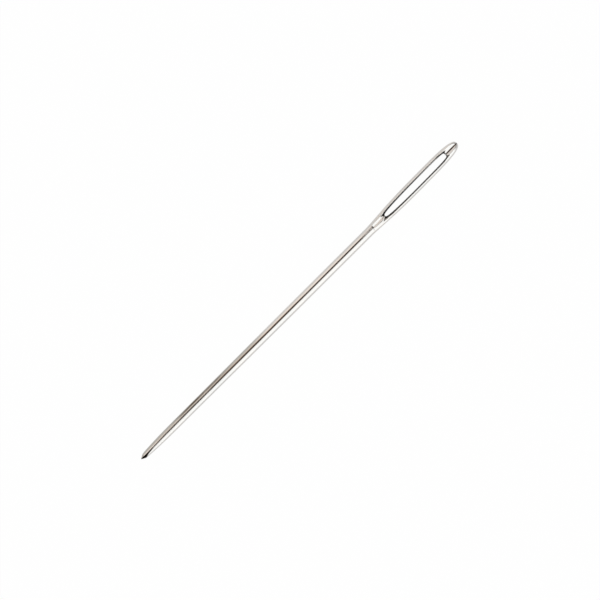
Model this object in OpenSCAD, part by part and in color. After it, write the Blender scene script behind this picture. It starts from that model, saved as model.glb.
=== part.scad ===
// Yarn needle: one piece of drawn steel wire with a short blunt cone at the point,
// a stamped head that widens around a long oval eye, and a pressed gutter at each
// end of the eye on both faces. It lies along X with its point at -X and the faces
// of the eye towards +Z and -Z. The head is a little thicker than the wire, so the
// needle rests on its underside with the eye level. All sizes are in millimetres.

/* [Wire] */
// Overall length, from the point to the end of the head
needle_l = 70; // [60:1:90]
// Diameter of the parallel shaft, which is the wire's own gauge
shaft_d = 1.5; // [1.3:0.05:1.7]
// Length of the slow taper between the point and the parallel shaft
taper_l = 24; // [14:1:28]
// How much of the diameter the slow taper takes off
taper_drop = 0.14; // [0.04:0.01:0.2]

/* [Point] */
// Length of the ground point, from the tip to the slow taper
point_l = 9.5; // [6:0.5:12]
// Diameter where the blunt cone meets the rest of the point
cone_d = 0.9; // [0.7:0.05:1.1]
// Angle of the blunt cone, from side to side
cone_angle = 62; // [50:2:90]
// Radius of the polished nose on the cone
nose_r = 0.06; // [0.03:0.01:0.12]

/* [Eye] */
// Length of the opening
eye_l = 13.4; // [11:0.2:15]
// Width of the opening at its widest
eye_w = 1.06; // [0.8:0.02:1.2]
// Metal left between the opening and the end of the head
eye_end_wall = 2.6; // [2:0.1:3.4]
// Distance from the end of the head to the widest place of the opening
eye_widest_at = 8.1; // [7.1:0.5:10.1]
// Width over which the metal rounds down into the opening
rim_w = 0.28; // [0.16:0.02:0.34]

/* [Head] */
// Width across the head at its widest
head_w = 2.28; // [2.1:0.02:2.6]
// Thickness of the stamped head
head_t = 1.78; // [1.6:0.02:1.9]
// Distance from the end of the head to its widest place
head_widest_at = 9; // [7:0.5:11]
// Length over which the round wire starts to widen ahead of the gutter
swell_lead = 0.8; // [0.4:0.1:1.5]
// Depth of the crease that the stamp leaves around the wire
crease_depth = 0.04; // [0.02:0.01:0.06]

/* [Gutters] */
// Length of the gutter between the shaft and the eye
neck_gutter_l = 2.8; // [2:0.1:4]
// Width of that gutter where it starts
neck_gutter_w = 0.62; // [0.4:0.02:0.7]
// Width of that gutter where it runs into the eye
neck_mouth_w = 0.78; // [0.6:0.02:0.9]
// Width of the gutter between the eye and the end of the head
head_gutter_w = 1.2; // [0.8:0.02:1.3]
// Depth of both gutters where they run into the eye
gutter_depth = 0.32; // [0.2:0.02:0.4]
// Depth of both gutters at their far ends
gutter_run_out = 0.13; // [0.06:0.01:0.18]
// Length over which the gutters fade out along the sides of the eye
gutter_fade = 1.6; // [0.8:0.1:2.4]
// How far the bottoms of the upper face's gutters lie to the side of the wire
gutter_shift = 0.08; // [0:0.01:0.12]
// How much steeper one wall of those gutters is than the other
gutter_lean = 0.17; // [0:0.01:0.2]

/* [Hidden] */

$fn = 64;
shaft_r = shaft_d / 2;
seam = 0.005;                        // the stamped head stands this proud of the wire
seam_lap = 0.2;                      // the wire runs this far into the head
neck_r = shaft_r + seam;
taper_r = shaft_r - taper_drop / 2;
point_steps = 20;

eye_end = needle_l - eye_end_wall;
eye_start = eye_end - eye_l;
eye_mid = needle_l - eye_widest_at;
gutter_start = eye_start - neck_gutter_l;
neck_start = gutter_start - swell_lead;
head_mid = needle_l - head_widest_at;

// Exponents of the oval outlines: the first is along the needle, the second across it
NECK_OVAL = [2, 3.5];
END_OVAL = [2.4, 5];
TIP_OVAL = [3.4, 2.7];
SIDE_OVAL = [2.4, 2.2];
OGIVE_POWER = 3;
SWELL_POWERS = [1.4, 2.8];
RIM_POWER = 1.6;
ROUND_WIRE = 2;
FLAT_HEAD = 3.6;
CREASE_L = 0.1;
GUTTER_START_L = 0.18;

neck_steps = 14;
eye_steps = 12;
end_steps = 16;
columns = 12;

// Shared curves
function clamp01(t) = max(0, min(1, t));
function ease(t) = let (c = clamp01(t)) c * c * (3 - 2 * c);
function oval(t, powers) = pow(1 - pow(clamp01(t), powers[0]), 1 / powers[1]);
function mix(a, b, t) = a + (b - a) * t;
function spread(t) = (1 - cos(180 * t)) / 2;

// The cone's sharp apex would lie ahead of the tip, and the nose rounds it off
nose_touch = 90 - cone_angle / 2;
cone_end = (cone_d / 2) / tan(cone_angle / 2) - nose_r / sin(cone_angle / 2) + nose_r;

// Radius of the ground point at a distance s from the tip
function ogive_r(s) =
    taper_r - (taper_r - cone_d / 2) * pow(1 - (s - cone_end) / (point_l - cone_end), OGIVE_POWER);

// Half outline of the wire, from the tip to its lap inside the head: [radius, distance]
nose_points = [for (i = [0:4]) let (a = nose_touch * i / 4) [nose_r * sin(a), nose_r * (1 - cos(a))]];
point_points = [for (i = [0:point_steps])
    let (s = cone_end + (point_l - cone_end) * pow(i / point_steps, 1.5)) [ogive_r(s), s]];
shaft_points = [
    [shaft_r, point_l + taper_l], [shaft_r, neck_start + seam_lap], [0, neck_start + seam_lap]];
wire_outline = concat(nose_points, point_points, shaft_points);

// Half width of the head's outline
function swell(t) = 1 - pow(1 - pow(clamp01(t), SWELL_POWERS[0]), SWELL_POWERS[1]);
function half_w(s) = s < head_mid
    ? mix(neck_r, head_w / 2, swell((s - neck_start) / (head_mid - neck_start)))
    : head_w / 2 * oval((s - head_mid) / (needle_l - head_mid), TIP_OVAL);

// Half thickness of the head seen from the side
function half_t(s) =
    s < gutter_start ? neck_r
    : s < eye_start ? mix(neck_r - crease_depth * ease((s - gutter_start) / CREASE_L), head_t / 2,
        ease((s - gutter_start) / neck_gutter_l))
    : head_t / 2 * oval((s - eye_end) / (needle_l - eye_end), SIDE_OVAL);

// The section goes from a circle to a flatter oval
function section_power(s) = mix(ROUND_WIRE, FLAT_HEAD, ease((s - gutter_start) / neck_gutter_l));

// The opening: its half length on the side of s, the powers there and its half width
function eye_reach(s) = s < eye_mid ? eye_mid - eye_start : eye_end - eye_mid;
function eye_powers(s) = s < eye_mid ? NECK_OVAL : END_OVAL;
function eye_half_w(s) = s <= eye_start || s >= eye_end ? 0
    : eye_w / 2 * oval(abs(s - eye_mid) / eye_reach(s), eye_powers(s));

// Distance of a point of the head from the opening's edge, true near that edge
function eye_gap(s, y) = let (
        a = eye_reach(s), b = eye_w / 2, p = eye_powers(s)[0], q = eye_powers(s)[1],
        u = abs(s - eye_mid) / a, v = abs(y) / b,
        f = pow(u, p) + pow(v, q),
        slope = norm([p * pow(u, p - 1) / a, q * pow(v, q - 1) / b]))
    slope == 0 ? -b : q * (f - pow(f, 1 - 1 / q)) / slope;
function rim(gap) = 1 - pow(1 - clamp01(gap / rim_w), RIM_POWER);

// The two gutters are round channels, deepest at the eye, that fade out along its sides.
// Face is 1 on the upper face, where they are off centre and lean, and 0 on the lower one.
function channel(y, width, face) = let (
        side = y - gutter_shift * face,
        half = width * (0.5 + sign(side) * gutter_lean * face))
    max(0, 1 - pow(side / half, 2));
function neck_gutter(s, y, face) = let (t = (s - gutter_start) / neck_gutter_l)
    ease((s - gutter_start) / GUTTER_START_L)
    * (t < 1 ? mix(gutter_run_out, gutter_depth, t * t)
        : gutter_depth * (1 - ease((s - eye_start) / gutter_fade)))
    * channel(y, mix(neck_gutter_w, neck_mouth_w, clamp01(t)), face);
function head_gutter(s, y, face) = let (t = (s - eye_end) / eye_end_wall)
    (t > 0 ? mix(gutter_depth, gutter_run_out, t) : gutter_depth * (1 - ease((eye_end - s) / gutter_fade)))
    * channel(y, head_gutter_w, face);
function gutter(s, y, face) = s < eye_mid ? neck_gutter(s, y, face) : head_gutter(s, y, face);

// Half thickness of the head at any place. The gutters' depths are those at full thickness.
function head_height(s, y, face) = let (
        power = section_power(s),
        crown = half_t(s) * oval(abs(y) / half_w(s), [power, power]))
    crown * (1 - gutter(s, y, face) / (head_t / 2)) * rim(eye_gap(s, y));

// Stations along the head, from the neck to the end
neck_stations = concat(
    [neck_start, mix(neck_start, gutter_start, 0.5), gutter_start],
    [for (i = [1:neck_steps - 1]) mix(gutter_start, eye_start, spread(i / neck_steps))]);
eye_stations = concat(
    [for (i = [0:eye_steps])
        eye_mid - (eye_mid - eye_start) * pow(cos(90 * i / eye_steps), 2 / NECK_OVAL[0])],
    [for (i = [1:eye_steps])
        eye_mid + (eye_end - eye_mid) * pow(sin(90 * i / eye_steps), 2 / END_OVAL[0])]);
end_stations = [for (i = [1:end_steps]) mix(eye_end, needle_l, spread(i / end_steps))];
stations = concat(neck_stations, eye_stations, end_stations);
station_count = len(stations);
first_eye = len(neck_stations);
last_eye = first_eye + 2 * eye_steps;
last = station_count - 1;

// One ring of points goes round the section: over the top from -Y to +Y, then back underneath.
// Each quarter runs between the outer edge and the middle, which the eye parts in two.
ring = 4 * columns + 2;
function across(s, t) = mix(eye_half_w(s), half_w(s), spread(t));
function ring_point(s, k) = let (
        top = k <= 2 * columns + 1,
        j = top ? k : k - 2 * columns - 1,
        left = top ? j <= columns : j > columns,
        t = top ? (left ? 1 - j / columns : (j - columns - 1) / columns)
                : (left ? (j - columns - 1) / columns : 1 - j / columns),
        y = across(s, t) * (left ? -1 : 1),
        z = t == 1 ? 0 : head_height(s, y, top ? 1 : 0))
    [s, y, top ? z : -z];
head_points = [for (s = stations) for (k = [0:ring - 1]) ring_point(s, k)];

// Height of the wire's axis above the surface that the needle lies on
function lowest(i) = max([for (k = [2 * columns + 2:ring - 1]) -head_points[i * ring + k][2]]);
axis_z = max([for (i = [0:last - 1]) lowest(i)]);

// Points that coincide share one number: at the middle, at the eye's inner edges and at the end
mid_left = columns;
mid_right = columns + 1;
under_right = 3 * columns + 1;
under_left = 3 * columns + 2;
function shared(i, k) =
    i == last ? 0
    : i == first_eye || i == last_eye
        ? (k == mid_right || k == under_right || k == under_left ? mid_left : k)
    : i > first_eye && i < last_eye
        ? (k == under_left ? mid_left : k == under_right ? mid_right : k)
    : k == mid_right ? mid_left : k == under_left ? under_right : k;
function number(i, k) = let (m = k % ring) i * ring + shared(i, m);
function distinct(f) = f[0] != f[1] && f[1] != f[2] && f[2] != f[0];
head_sides = [for (i = [0:last - 1]) for (k = [0:ring - 1])
    if (k != mid_left && k != under_right)
        for (f = [[number(i, k), number(i + 1, k + 1), number(i + 1, k)],
                  [number(i, k), number(i, k + 1), number(i + 1, k + 1)]])
            if (distinct(f)) f];
neck_cap = [for (m = [0:ring - 1]) let (k = ring - 1 - m)
    if (k != mid_right && k != under_left) number(0, k)];

module along_needle() {
    translate([-needle_l / 2, 0, axis_z]) children();
}

// The drawn wire with its ground point
module wire() {
    color("lightsteelblue")
        rotate([0, 90, 0])
            rotate_extrude() polygon(wire_outline);
}

// The stamped head with its eye and gutters
module head() {
    color("lightsteelblue")
        polyhedron(points = head_points, faces = concat([neck_cap], head_sides), convexity = 6);
}

module needle() {
    along_needle()
        union() {
            wire();
            head();
        }
}

needle();
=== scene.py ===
"""The looks of the yarn needle: one smooth mesh of polished, nickel-plated steel."""
import math

import bpy
import numpy as np
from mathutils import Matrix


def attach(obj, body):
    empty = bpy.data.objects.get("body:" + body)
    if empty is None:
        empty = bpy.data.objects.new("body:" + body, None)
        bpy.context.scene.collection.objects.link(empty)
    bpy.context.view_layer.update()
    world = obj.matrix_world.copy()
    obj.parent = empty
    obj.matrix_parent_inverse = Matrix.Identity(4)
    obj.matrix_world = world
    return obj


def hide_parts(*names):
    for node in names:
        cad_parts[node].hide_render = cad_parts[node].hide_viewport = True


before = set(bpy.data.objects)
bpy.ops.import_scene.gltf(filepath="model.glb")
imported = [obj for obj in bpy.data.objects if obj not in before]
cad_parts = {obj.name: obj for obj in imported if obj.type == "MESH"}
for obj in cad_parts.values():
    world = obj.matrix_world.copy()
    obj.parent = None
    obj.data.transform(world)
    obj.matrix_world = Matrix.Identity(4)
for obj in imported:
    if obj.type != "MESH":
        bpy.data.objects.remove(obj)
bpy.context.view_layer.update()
MM = 0.001

# Sizes are in mm. The eye's width, its rim, the ovals, the gutters, the way the head thickens,
# the shoulder and the bend differ a little from the solid's.
NEEDLE_L, SHAFT_D = 70.0, 1.5
TAPER_L, TAPER_DROP, TAPER_EASED = 24.0, 0.14, 0.4
POINT_L, CONE_D, CONE_ANGLE, NOSE_R, OGIVE = 9.5, 0.9, 62.0, 0.06, 3.0
SHOULDER_L, SHOULDER_DROP = 0.7, 0.04  # rounds off the shoulder of the cone
BEND, BEND_FROM = 0.0085, 50.0  # the head is bent half a degree towards +Y
EYE_L, EYE_W, EYE_END_WALL, EYE_WIDEST_AT, RIM_W = 13.4, 1.03, 2.6, 8.1, 0.26
EYE_NECK_OVAL, EYE_END_OVAL = (2.0, 3.8), (3.6, 6.5)
RIM_NECK_SHARE, RIM_END_SHARE, RIM_END_L, RIM_POWER = 0.85, 0.6, 1.2, 1.6
HEAD_W, HEAD_T, HEAD_WIDEST_AT = 2.28, 1.78, 9.0
HEAD_SWELL = (1.4, 2.8)
HEAD_END_OVAL, HEAD_SIDE_OVAL = (4.6, 2.8), (4.5, 2.2)  # from above and from the side
FLAT_HEAD = (3.6, 2.7)  # power of the oval section, underneath and on top
SWELL_LEAD, CREASE, CREASE_L, THICKENING_L = 0.8, 0.04, 0.1, 6.0
NECK_L, GUTTER_START_L, GUTTER_START_LIFT = 2.8, 0.28, 0.3
GUTTER_FADE_L, GUTTER_FADE_LIFT = 1.6, 0.7
# Each gutter is the print of a wedge: side place of its bottom, height of the bottom above the
# middle of the wire, slopes of its +Y and -Y walls. The neck's goes from the first to the second.
NECK_START_WEDGE = (0.05, 0.50, 0.20, 1.00)
NECK_MOUTH_WEDGE = (0.15, 0.50, 1.00, 0.85)
HEAD_WEDGE = (0.02, 0.55, 0.34, 0.80)
UNDER_WEDGE = (0.0, 0.52, 0.90, 0.90)
WEDGE_ROUND = 0.02
RIDGE_ROUND, RIDGE_START_L = (0.07, 0.02), 0.5  # of the gutters' -Y and +Y edges
# half width, side offset and start length of the painted shade in the bottom of the head's gutter
GUTTER_SHADE_HALF, GUTTER_SHADE_ASIDE, GUTTER_SHADE_START_L = 0.16, 0.02, 0.2
LOW_WALL, LOW_WALL_HALF = 0.6, 0.3  # how much of the eye's wall a gutter takes away

COLUMNS = 40  # points from the middle to the edge of a ring
LEAST_Z = 0.0005  # keeps the upper and the lower face apart beside the ends of the eye
SPREAD_L = 1.5  # before the neck, over which the points of a ring move towards its edges

# Colours, and where they lie
PLATING_WARM, PLATING_COOL = (0.82, 0.79, 0.76), (0.78, 0.765, 0.745)
# The second tint is a painted dark reflection in the eye's punched wall.
# The third tint is painted shade in the bottom of the head's gutter.
STREAK_TINT, EYE_WALL_REFLECTION_TINT, GUTTER_SHADE_TINT = (0.20, 0.15, 0.105), (0.05, 0.045, 0.04), (0.08, 0.055, 0.045)
STREAK_X, STREAK_Y, STREAK_HALF = (-28.5, -24.5, -20.5, -13.5), 0.48, 0.27
# the flank's tint is painted shade on the +Y side of the front half
FLANK_SHADE_TINT, FLANK_X, FLANK_Y = (0.72, 0.715, 0.69), (-6.0, -11.0), (0.1, 0.3)
# the tip's tint is a painted dark reflection on the -Y side of the point
TIP_REFLECTION_TINT, TIP_REACH, TIP_Y = (0.06, 0.055, 0.05), (3.4, 1.6), (0.02, -0.04)
TIP_AREA = (0.44, 0.30)  # limits of distance from the tip times distance from the middle
# the ridge's tint is a painted dark reflection along the top of the wire
RIDGE_REFLECTION_TINT, RIDGE_X, RIDGE_Y, RIDGE_HALF = (0.62, 0.50, 0.42), (-21.0, -16.0, -4.0, 3.0), 0.15, 0.22
# PALE lessens the painted dark reflection in one part of the eye's wall.
PALE_X, PALE_Y, PALE = (25.5, 29.5, 30.7, 31.5), (0.0, 0.1), 0.45  # a less dark part of the eye's wall
DULL_X, DULL_HALF, DULL = (13.4, 15.2, 16.2, 16.4), 0.26, 0.32  # just before the neck's gutter
POLISH = (0.08, 0.18)  # roughness between and on the polishing lines
SCRATCH_ROUGH, WALL_ROUGH = 0.08, 0.25

SHAFT_R = SHAFT_D / 2
TAPER_R = SHAFT_R - TAPER_DROP / 2
TAPER_END = POINT_L + TAPER_L
EYE_END = NEEDLE_L - EYE_END_WALL
EYE_START = EYE_END - EYE_L
EYE_MID = NEEDLE_L - EYE_WIDEST_AT
GUTTER_START = EYE_START - NECK_L
NECK_START = GUTTER_START - SWELL_LEAD
HEAD_MID = NEEDLE_L - HEAD_WIDEST_AT
HALF_ANGLE = math.radians(CONE_ANGLE / 2)
CONE_END = CONE_D / 2 / math.tan(HALF_ANGLE) - NOSE_R / math.sin(HALF_ANGLE) + NOSE_R
NOSE_END = NOSE_R * (1 - math.cos(math.pi / 2 - HALF_ANGLE))


# The form. In these functions s is the distance from the tip, y the distance to the side, and
# face is 1 on the upper and 0 on the lower face.
def clamp(t):
    return np.clip(t, 0, 1)


def ease(t):
    t = clamp(t)
    return t * t * (3 - 2 * t)


def mix(a, b, t):
    return a + (b - a) * t


def oval(t, p, q):
    return (1 - clamp(t) ** p) ** (1 / q)


def wire_r(s):
    """Radius of the ground wire: nose, cone, rounded point, slow taper and shaft."""
    s = np.asarray(s, float)
    nose = np.sqrt(np.maximum(0, NOSE_R**2 - (NOSE_R - np.minimum(s, NOSE_R)) ** 2))
    apex = NOSE_R - NOSE_R / math.sin(HALF_ANGLE)
    cone = (s - apex) * math.tan(HALF_ANGLE)
    left = clamp(1 - (s - CONE_END) / (POINT_L - CONE_END))
    ogive = TAPER_R - (TAPER_R - CONE_D / 2) * left**OGIVE
    t = (s - POINT_L) / TAPER_L
    slow = mix(TAPER_R, SHAFT_R, ease(t) * TAPER_EASED + clamp(t) * (1 - TAPER_EASED))
    r = np.where(s < NOSE_END, nose, np.where(s < CONE_END, cone, np.where(s < POINT_L, ogive, slow)))
    shoulder = np.maximum(0, 1 - np.abs(s - CONE_END) / SHOULDER_L) ** 2
    return r - SHOULDER_DROP * shoulder * (s > NOSE_END)


def half_w(s):
    t = clamp((s - NECK_START) / (HEAD_MID - NECK_START))
    swell = mix(SHAFT_R, HEAD_W / 2, 1 - (1 - t ** HEAD_SWELL[0]) ** HEAD_SWELL[1])
    end = HEAD_W / 2 * oval((s - HEAD_MID) / (NEEDLE_L - HEAD_MID), *HEAD_END_OVAL)
    return np.where(s <= NECK_START, wire_r(s), np.where(s < HEAD_MID, swell, end))


def half_t(s):
    start = SHAFT_R - CREASE * ease((s - GUTTER_START) / CREASE_L)
    neck = mix(start, HEAD_T / 2, ease((s - GUTTER_START) / THICKENING_L))
    head = HEAD_T / 2 * oval((s - EYE_END) / (NEEDLE_L - EYE_END), *HEAD_SIDE_OVAL)
    return np.where(s < GUTTER_START, wire_r(s), np.where(s < EYE_MID, neck, head))


def section_power(s, face):
    return mix(2.0, FLAT_HEAD[face], ease((s - GUTTER_START) / NECK_L))


def eye_shape(s):
    """Half length of the eye and the two powers of its oval, on this side of its widest place."""
    near = s < EYE_MID
    a = np.where(near, EYE_MID - EYE_START, EYE_END - EYE_MID)
    p, q = (np.where(near, neck, end) for neck, end in zip(EYE_NECK_OVAL, EYE_END_OVAL))
    return a, p, q


def eye_half(s):
    a, p, q = eye_shape(s)
    inside = (s > EYE_START + 1e-7) & (s < EYE_END - 1e-7)
    return np.where(inside, EYE_W / 2 * oval(np.abs(s - EYE_MID) / a, p, q), 0.0)


def eye_gap(s, y):
    """Distance from the eye's edge."""
    a, p, q = eye_shape(s)
    b = EYE_W / 2
    u, v = np.abs(s - EYE_MID) / a, np.abs(y) / b
    f = u**p + v**q
    slope = np.sqrt((p * u ** (p - 1) / a) ** 2 + (q * v ** (q - 1) / b) ** 2)
    return np.where(slope > 1e-9, q * (f - f ** (1 - 1 / q)) / np.maximum(slope, 1e-9), -b)


def from_eye_ends(s):
    return np.minimum(s - EYE_START, EYE_END - s)


def rim_width(s):
    """The eye's rim is narrower around both of its ends."""
    share = np.where(s < EYE_MID, RIM_NECK_SHARE, RIM_END_SHARE)
    return RIM_W * mix(share, 1, ease(from_eye_ends(s) / RIM_END_L))


def rim(s, y):
    return 1 - (1 - clamp(eye_gap(s, y) / rim_width(s))) ** RIM_POWER


def wedge(y, place, bottom, left, right):
    """Height of a wedge's print, with its bottom rounded."""
    side = y - place
    return bottom + np.where(side > 0, left, right) * (np.hypot(side, WEDGE_ROUND) - WEDGE_ROUND)


def groove(s, y, face):
    """Height that the two gutters leave; the prints lift off along the sides of the eye."""
    from_start = s - GUTTER_START
    t = clamp(from_start / NECK_L)
    lift = GUTTER_START_LIFT * (1 - ease(from_start / GUTTER_START_L))
    lift = lift + GUTTER_FADE_LIFT * ease((s - EYE_START) / GUTTER_FADE_L)
    shape = [mix(a, b, t * t) for a, b in zip(NECK_START_WEDGE, NECK_MOUTH_WEDGE)] if face else UNDER_WEDGE
    neck = wedge(y, *shape) + lift
    head = wedge(y, *(HEAD_WEDGE if face else UNDER_WEDGE))
    head = head + GUTTER_FADE_LIFT * ease((EYE_END - s) / GUTTER_FADE_L)
    return np.where(s < EYE_MID, neck, head)


def height(s, y, face):
    p = section_power(s, face)
    crown = half_t(s) * oval(np.abs(y) / np.maximum(half_w(s), 1e-9), p, p)
    bottom = groove(s, y, face)
    soft = np.where(y < 0, *RIDGE_ROUND) * clamp((s - GUTTER_START) / RIDGE_START_L)
    edge = np.maximum(0, soft - np.abs(crown - bottom)) ** 2 / (4 * np.maximum(soft, 1e-9))
    stamped = (np.minimum(crown, bottom) - np.minimum(edge, crown / 2)) * rim(s, y)
    return np.where(s > NECK_START, stamped, crown)


def gutter_shade_share(s, y):
    """Painted shade in the bottom of the head's gutter, thicker in its middle."""
    place = (y - HEAD_WEDGE[0] + GUTTER_SHADE_ASIDE) / GUTTER_SHADE_HALF
    from_eye = s - EYE_END
    along = ease(from_eye / GUTTER_SHADE_START_L) * (1 - 0.5 * np.abs(from_eye / EYE_END_WALL * 2 - 1))
    return along * np.maximum(0, 1 - place**2)


def wall_share(s, y):
    """How much of the surface is the eye's punched wall, which is low where a gutter runs in."""
    low = (1 - ease(np.abs(y) / LOW_WALL_HALF)) * (1 - ease(from_eye_ends(s) / LOW_WALL_HALF))
    return (1 - clamp(eye_gap(s, y) / rim_width(s))) * (1 - LOW_WALL * low)


def stations():
    """Places of the rings, closer together where the form turns quickly, and the eye's two ends."""
    shoulder, crease, gutter = CONE_END + SHOULDER_L, GUTTER_START - 0.06, GUTTER_START + 0.4
    out = list(NOSE_END * (np.arange(1, 9) / 9) ** 2)
    for a, b, n in (
            (NOSE_END, CONE_END, 24), (CONE_END, shoulder, 24), (shoulder, POINT_L, 50),
            (POINT_L, TAPER_END, 30), (TAPER_END, NECK_START - 2, 16), (NECK_START - 2, NECK_START, 10),
            (NECK_START, crease, 12), (crease, gutter, 24)):
        out += list(a + (b - a) * (np.arange(n) / n))
    out += list(gutter + (EYE_START - gutter) * np.sin(np.pi / 2 * np.arange(40) / 40))
    first = len(out)
    turn = np.pi / 2 * np.arange(56) / 56
    out += list(EYE_MID - (EYE_MID - EYE_START) * np.cos(turn))
    out += list(EYE_MID + (EYE_END - EYE_MID) * np.sin(turn) ** (2 / EYE_END_OVAL[0]))
    last = len(out)
    out += list(EYE_END + (NEEDLE_L - EYE_END) * (1 - np.cos(2 * turn)) / 2)
    return np.array(out), first, last


def needle_mesh():
    s, first, last = stations()
    n = COLUMNS
    t = np.arange(n + 1) / n
    even, spread = np.sin(np.pi / 2 * t), (1 - np.cos(np.pi * t)) / 2
    verts, rings, wall, gutter_shade = [], [], [], []
    for i, si in enumerate(s):
        inner, outer = float(eye_half(si)), float(half_w(si))
        y = inner + (outer - inner) * mix(even, spread, float(ease((si - NECK_START) / SPREAD_L + 1)))
        at = np.full(n + 1, si)
        heights = height(at, y, 1), height(at, -y, 1), height(at, y, 0)
        z_left, z_right, under = (np.maximum(z, LEAST_Z) for z in heights)
        open_eye = first < i < last
        eye_tip = i in (first, last)
        for z in (z_left, z_right, under):
            z[-1] = 0.0
            if open_eye or eye_tip:
                z[0] = 0.0

        def put(yy, zz):
            verts.append((si - NEEDLE_L / 2, yy, zz))
            wall.append(float(wall_share(si, yy)))
            gutter_shade.append(float(gutter_shade_share(si, yy) * (zz > 0)))
            return len(verts) - 1

        # lists run from the middle outward: +Y top, +Y bottom, -Y top, -Y bottom
        top_l = [put(y[k], z_left[k]) for k in range(n + 1)]
        bot_l = [top_l[0] if (open_eye or eye_tip) else put(y[0], -under[0])]
        bot_l += [put(y[k], -under[k]) for k in range(1, n)] + [top_l[n]]
        first_r = put(-y[0], z_right[0]) if open_eye else top_l[0]
        top_r = [first_r] + [put(-y[k], z_right[k]) for k in range(1, n + 1)]
        bot_r = [first_r if open_eye else bot_l[0]]
        bot_r += [put(-y[k], -under[k]) for k in range(1, n)] + [top_r[n]]
        rings.append((top_l, bot_l, top_r, bot_r))
    faces = []
    for a, b in zip(rings, rings[1:]):
        for q, flip in enumerate((False, True, True, False)):
            for k in range(n):
                f = [a[q][k], b[q][k], b[q][k + 1], a[q][k + 1]]
                f = [v for j, v in enumerate(f) if v != f[j - 1]]
                if len(f) > 2:
                    faces.append(f[::-1] if flip else f)
    for ring, x, flip in ((rings[0], 0.0, False), (rings[-1], NEEDLE_L, True)):
        verts.append((x - NEEDLE_L / 2, 0.0, 0.0))
        wall.append(0.0)
        gutter_shade.append(0.0)
        end = len(verts) - 1
        for q, turned in enumerate((False, True, True, False)):
            for k in range(n):
                f = [end, ring[q][k], ring[q][k + 1]]
                faces.append(f[::-1] if turned != flip else f)
    mesh = bpy.data.meshes.new("needle_skin")
    verts = np.array(verts)
    verts[:, 1] += BEND * np.maximum(0, verts[:, 0] + NEEDLE_L / 2 - BEND_FROM)
    verts[:, 2] -= verts[:, 2].min()
    mesh.from_pydata((verts * MM).tolist(), [], faces)
    # the second attribute carries the painted shade in the head's gutter
    for name, values in (("eye_wall", wall), ("gutter_shade", gutter_shade)):
        mesh.attributes.new(name, "FLOAT", "POINT").data.foreach_set("value", values)
    mesh.validate()
    mesh.shade_smooth()
    obj = bpy.data.objects.new("needle_skin", mesh)
    bpy.context.scene.collection.objects.link(obj)
    return obj


class Nodes:
    """A node tree, with short ways to add what the materials and the sky have in common."""

    def __init__(self, tree):
        self.tree = tree

    def new(self, kind):
        return self.tree.nodes.new(kind)

    def feed(self, value, socket):
        if isinstance(value, bpy.types.NodeSocket):
            self.tree.links.new(value, socket)
        else:
            socket.default_value = value

    def math(self, kind, *values):
        n = self.new("ShaderNodeMath")
        n.operation = kind
        for value, socket in zip(values, n.inputs):
            self.feed(value, socket)
        return n.outputs[0]

    def product(self, *parts):
        out = parts[0]
        for part in parts[1:]:
            out = self.math("MULTIPLY", out, part)
        return out

    def ramp(self, value, low, high, to_low=0.0, to_high=1.0, kind="SMOOTHSTEP"):
        n = self.new("ShaderNodeMapRange")
        n.interpolation_type = kind
        names = "Value", "From Min", "From Max", "To Min", "To Max"
        for name, v in zip(names, (value, low, high, to_low, to_high)):
            self.feed(v, n.inputs[name])
        return n.outputs["Result"]

    def split(self, vector):
        n = self.new("ShaderNodeSeparateXYZ")
        self.feed(vector, n.inputs[0])
        return n.outputs["X"], n.outputs["Y"]


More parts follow.
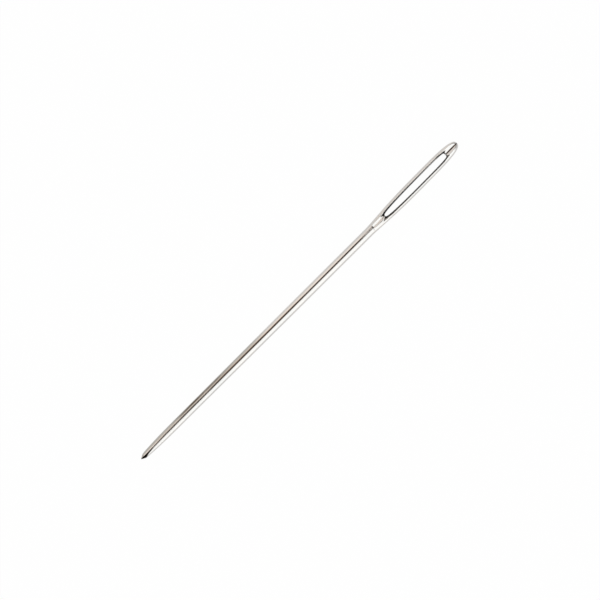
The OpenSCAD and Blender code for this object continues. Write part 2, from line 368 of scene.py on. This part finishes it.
def plated_steel():
    m = bpy.data.materials.new("plated_steel")
    m.use_nodes = True
    nodes = Nodes(m.node_tree)
    skin = m.node_tree.nodes["Principled BSDF"]
    skin.inputs["Metallic"].default_value = 1.0
    place = nodes.new("ShaderNodeTexCoord").outputs["Object"]
    x, y = nodes.split(place)
    ramp, product = nodes.ramp, nodes.product

    def noise(stretch, size, detail, roughness=0.5):
        """Noise drawn out along the needle where stretch is small."""
        mapping = nodes.new("ShaderNodeMapping")
        mapping.inputs["Scale"].default_value = (stretch, 1, 1)
        nodes.feed(place, mapping.inputs["Vector"])
        n = nodes.new("ShaderNodeTexNoise")
        for name, v in (("Scale", size), ("Detail", detail), ("Roughness", roughness)):
            n.inputs[name].default_value = v
        nodes.feed(mapping.outputs["Vector"], n.inputs["Vector"])
        return n.outputs["Fac"]

    def carried(name):
        n = nodes.new("ShaderNodeAttribute")
        n.attribute_name = name
        return n.outputs["Fac"]

    def blend(share, a, b, kind="MIX"):
        n = nodes.new("ShaderNodeMix")
        n.data_type, n.blend_type = "RGBA", kind
        nodes.feed(share, n.inputs["Factor"])
        for v, socket in ((a, n.inputs[6]), (b, n.inputs[7])):
            nodes.feed(v if isinstance(v, bpy.types.NodeSocket) else (*v, 1), socket)
        return n.outputs[2]

    def between(value, limits):
        """Rises from the first limit to the second and falls from the third to the fourth."""
        a, b, c, d = (v * MM for v in limits)
        return product(ramp(value, a, b), ramp(value, d, c))

    def beside(middle, half, full=0.0):
        """Full near a line along the needle and nothing beyond half of its width."""
        off = nodes.math("ABSOLUTE", nodes.math("SUBTRACT", y, middle * MM))
        return ramp(off, half * MM, full * MM)

    # faint warm and cool patches in the plating
    colour = blend(ramp(noise(0.35, 900, 2), 0.3, 0.7), PLATING_WARM, PLATING_COOL)
    # a brown streak on the +Y flank near the point
    ragged = ramp(noise(0.25, 2500, 3), 0.3, 0.6, 0.5, 1.0)
    streak = product(between(x, STREAK_X), beside(STREAK_Y, STREAK_HALF), ragged)
    colour = blend(streak, colour, STREAK_TINT, "MULTIPLY")
    # the same flank is painted a little darker over the whole front half, as painted shade on that side
    flank_shade = product(ramp(x, *(v * MM for v in FLANK_X)), ramp(y, *(v * MM for v in FLANK_Y)))
    colour = blend(flank_shade, colour, FLANK_SHADE_TINT, "MULTIPLY")
    # the ridge of the wire is painted browner than its flanks, a painted dark reflection along its top
    brown = product(between(x, RIDGE_X), beside(RIDGE_Y, RIDGE_HALF))
    colour = blend(brown, colour, RIDGE_REFLECTION_TINT, "MULTIPLY")
    # the -Y side of the point is painted very dark, a painted dark reflection, which thins out along the
    # ridge
    from_tip = nodes.math("ADD", x, NEEDLE_L / 2 * MM)
    spread = nodes.math("MULTIPLY", from_tip, nodes.math("MULTIPLY", y, -1.0))
    tip_reflection = product(
        ramp(spread, *(v * MM**2 for v in TIP_AREA)), ramp(y, *(v * MM for v in TIP_Y)),
        ramp(from_tip, *(v * MM for v in TIP_REACH)))
    colour = blend(tip_reflection, colour, TIP_REFLECTION_TINT, "MULTIPLY")
    # the punched wall of the eye is painted dark, a painted dark reflection, with ragged edges, and
    # lighter in one place
    edge = nodes.math("ADD", carried("eye_wall"), ramp(noise(0.5, 5000, 3), 0.0, 1.0, -0.12, 0.12))
    pale = product(between(x, PALE_X), ramp(y, *(v * MM for v in PALE_Y)))
    wall_reflection_and_rough = product(ramp(edge, 0.02, 0.45), nodes.math("SUBTRACT", 1.0, product(pale, PALE)))
    colour = blend(wall_reflection_and_rough, colour, EYE_WALL_REFLECTION_TINT)
    # painted shade lies in the bottom of the head's gutter
    patchy = ramp(noise(0.4, 3000, 3), 0.2, 0.6, 0.75, 1.0)
    colour = blend(ramp(product(carried("gutter_shade"), patchy), 0.05, 0.6), colour, GUTTER_SHADE_TINT)
    nodes.feed(colour, skin.inputs["Base Color"])

    # polishing lines run along the wire; a few cut deeper than the rest
    lines = noise(0.04, 9000, 4, 0.6)
    scratches = ramp(noise(0.02, 14000, 2, 0.4), 0.62, 0.70)
    rough = nodes.math("ADD", ramp(lines, 0.2, 0.8, *POLISH), product(scratches, SCRATCH_ROUGH))
    rough = nodes.math("ADD", rough, product(wall_reflection_and_rough, WALL_ROUGH))
    matt = product(between(x, DULL_X), beside(RIDGE_Y, DULL_HALF, DULL_HALF / 2), DULL)
    nodes.feed(nodes.math("ADD", rough, matt), skin.inputs["Roughness"])
    bump = nodes.new("ShaderNodeBump")
    bump.inputs["Strength"].default_value = 0.08
    bump.inputs["Distance"].default_value = 0.02 * MM
    nodes.feed(nodes.math("SUBTRACT", lines, product(scratches, 0.6)), bump.inputs["Height"])
    nodes.feed(bump.outputs["Normal"], skin.inputs["Normal"])
    return m


needle = needle_mesh()
needle.data.materials.append(plated_steel())
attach(needle, "root")
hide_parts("needle")

# The floor is white to the camera and greyer in the metal's reflections, and it keeps a little
# of the needle's shadow.
CAMERA_WHITE, MIRRORED_WHITE, FLOOR_GREY = 0.99, 0.62, 0.85
bpy.ops.mesh.primitive_plane_add(size=3, location=(0, 0, 0))
floor = bpy.context.object
floor.name = "floor"
floor_material = bpy.data.materials.new("floor")
floor_material.use_nodes = True
floor_material.node_tree.nodes.clear()
nodes = Nodes(floor_material.node_tree)
diffuse = nodes.new("ShaderNodeBsdfDiffuse")
diffuse.inputs["Color"].default_value = (FLOOR_GREY, FLOOR_GREY, FLOOR_GREY, 1)
glow = nodes.new("ShaderNodeEmission")
glow.inputs["Color"].default_value = (1, 1, 1, 1)
glow.inputs["Strength"].default_value = 1.0
path = nodes.new("ShaderNodeLightPath")
mirrored = nodes.math("MULTIPLY", path.outputs["Is Glossy Ray"], MIRRORED_WHITE)
both = nodes.new("ShaderNodeMixShader")
seen = nodes.math("MULTIPLY_ADD", path.outputs["Is Camera Ray"], CAMERA_WHITE, mirrored)
nodes.feed(seen, both.inputs["Fac"])
nodes.feed(diffuse.outputs[0], both.inputs[1])
nodes.feed(glow.outputs[0], both.inputs[2])
nodes.feed(both.outputs[0], nodes.new("ShaderNodeOutputMaterial").inputs["Surface"])
floor.data.materials.append(floor_material)

# The studio is a sky of soft bands across the needle, given as angles off the zenith towards -Y
# in degrees. The camera sees -Y at the lower right and +Y at the upper left.
BANDS = [
    (-90, (0.76, 0.73, 0.70)),
    (-66, (0.96, 0.90, 0.85)),
    (-42, (1.20, 1.09, 1.01)),
    (-34, (0.50, 0.41, 0.36)),
    (-27, (0.05, 0.035, 0.03)),
    (-6, (0.04, 0.03, 0.025)),
    (4, (0.42, 0.40, 0.39)),
    (16, (1.22, 1.25, 1.26)),
    (76, (1.24, 1.27, 1.28)),
    (90, (0.95, 0.97, 0.97)),
]
# Towards the point the bands swing over to -Y, which darkens the tip.
SWING, SWING_FROM, SWING_MOST = 4.5, -0.055, 0.35
# Beyond the point, on the -Y side, lies a dark corner. These are the limits of its soft edges.
CORNER_X, CORNER_Y, CORNER_SLANT, CORNER_DARK = (-0.09, -0.15), (0.08, -0.02), 0.12, 0.97
# The sky dims from the first to the second place: towards -X for the nose, towards +X for the head.
NOSE_SHADE, HEAD_SHADE = (-0.5, -0.85, 1.0, 0.3), (0.25, 0.6, 1.0, 0.45)

world = bpy.data.worlds.new("studio")
bpy.context.scene.world = world
world.use_nodes = True
nodes = Nodes(world.node_tree)
sky = world.node_tree.nodes["Background"]
x, y = nodes.split(nodes.new("ShaderNodeTexCoord").outputs["Generated"])
swing = nodes.math("MULTIPLY", nodes.math("SUBTRACT", SWING_FROM, x), SWING)
swing = nodes.math("MINIMUM", nodes.math("MAXIMUM", swing, 0.0), SWING_MOST)
bands = nodes.new("ShaderNodeValToRGB")
nodes.feed(nodes.math("MULTIPLY_ADD", nodes.math("ADD", y, swing), -0.5, 0.5), bands.inputs["Fac"])
stops = bands.color_ramp.elements
while len(stops) < len(BANDS):
    stops.new(0.5)
for stop, (angle, colour) in zip(stops, BANDS):
    stop.position = 0.5 + 0.5 * math.sin(math.radians(angle))
    stop.color = (*colour, 1)
nodes.feed(bands.outputs["Color"], sky.inputs["Color"])
shades = [nodes.ramp(x, *limits, kind="LINEAR") for limits in (HEAD_SHADE, NOSE_SHADE)]
slanted = nodes.math("SUBTRACT", x, nodes.math("MULTIPLY", y, CORNER_SLANT))
corner = nodes.product(
    nodes.ramp(slanted, *CORNER_X, kind="LINEAR"), nodes.ramp(y, *CORNER_Y, kind="LINEAR"), CORNER_DARK)
nodes.feed(nodes.product(*shades, nodes.math("SUBTRACT", 1.0, corner)), sky.inputs["Strength"])

# The camera looks straight down from far away.
SPAN, DISTANCE, SENSOR = 0.0941, 1.0, 36
camera_data = bpy.data.cameras.new("camera")
camera_data.sensor_width = SENSOR
camera_data.lens = SENSOR * DISTANCE / SPAN
camera_data.clip_end = 20
camera = bpy.data.objects.new("camera", camera_data)
camera.location = (0.00023, 0.00009, DISTANCE)
camera.rotation_euler = (0, 0, math.radians(-44.9))
bpy.context.scene.collection.objects.link(camera)
bpy.context.scene.camera = camera

bpy.context.scene.view_settings.view_transform = "Standard"
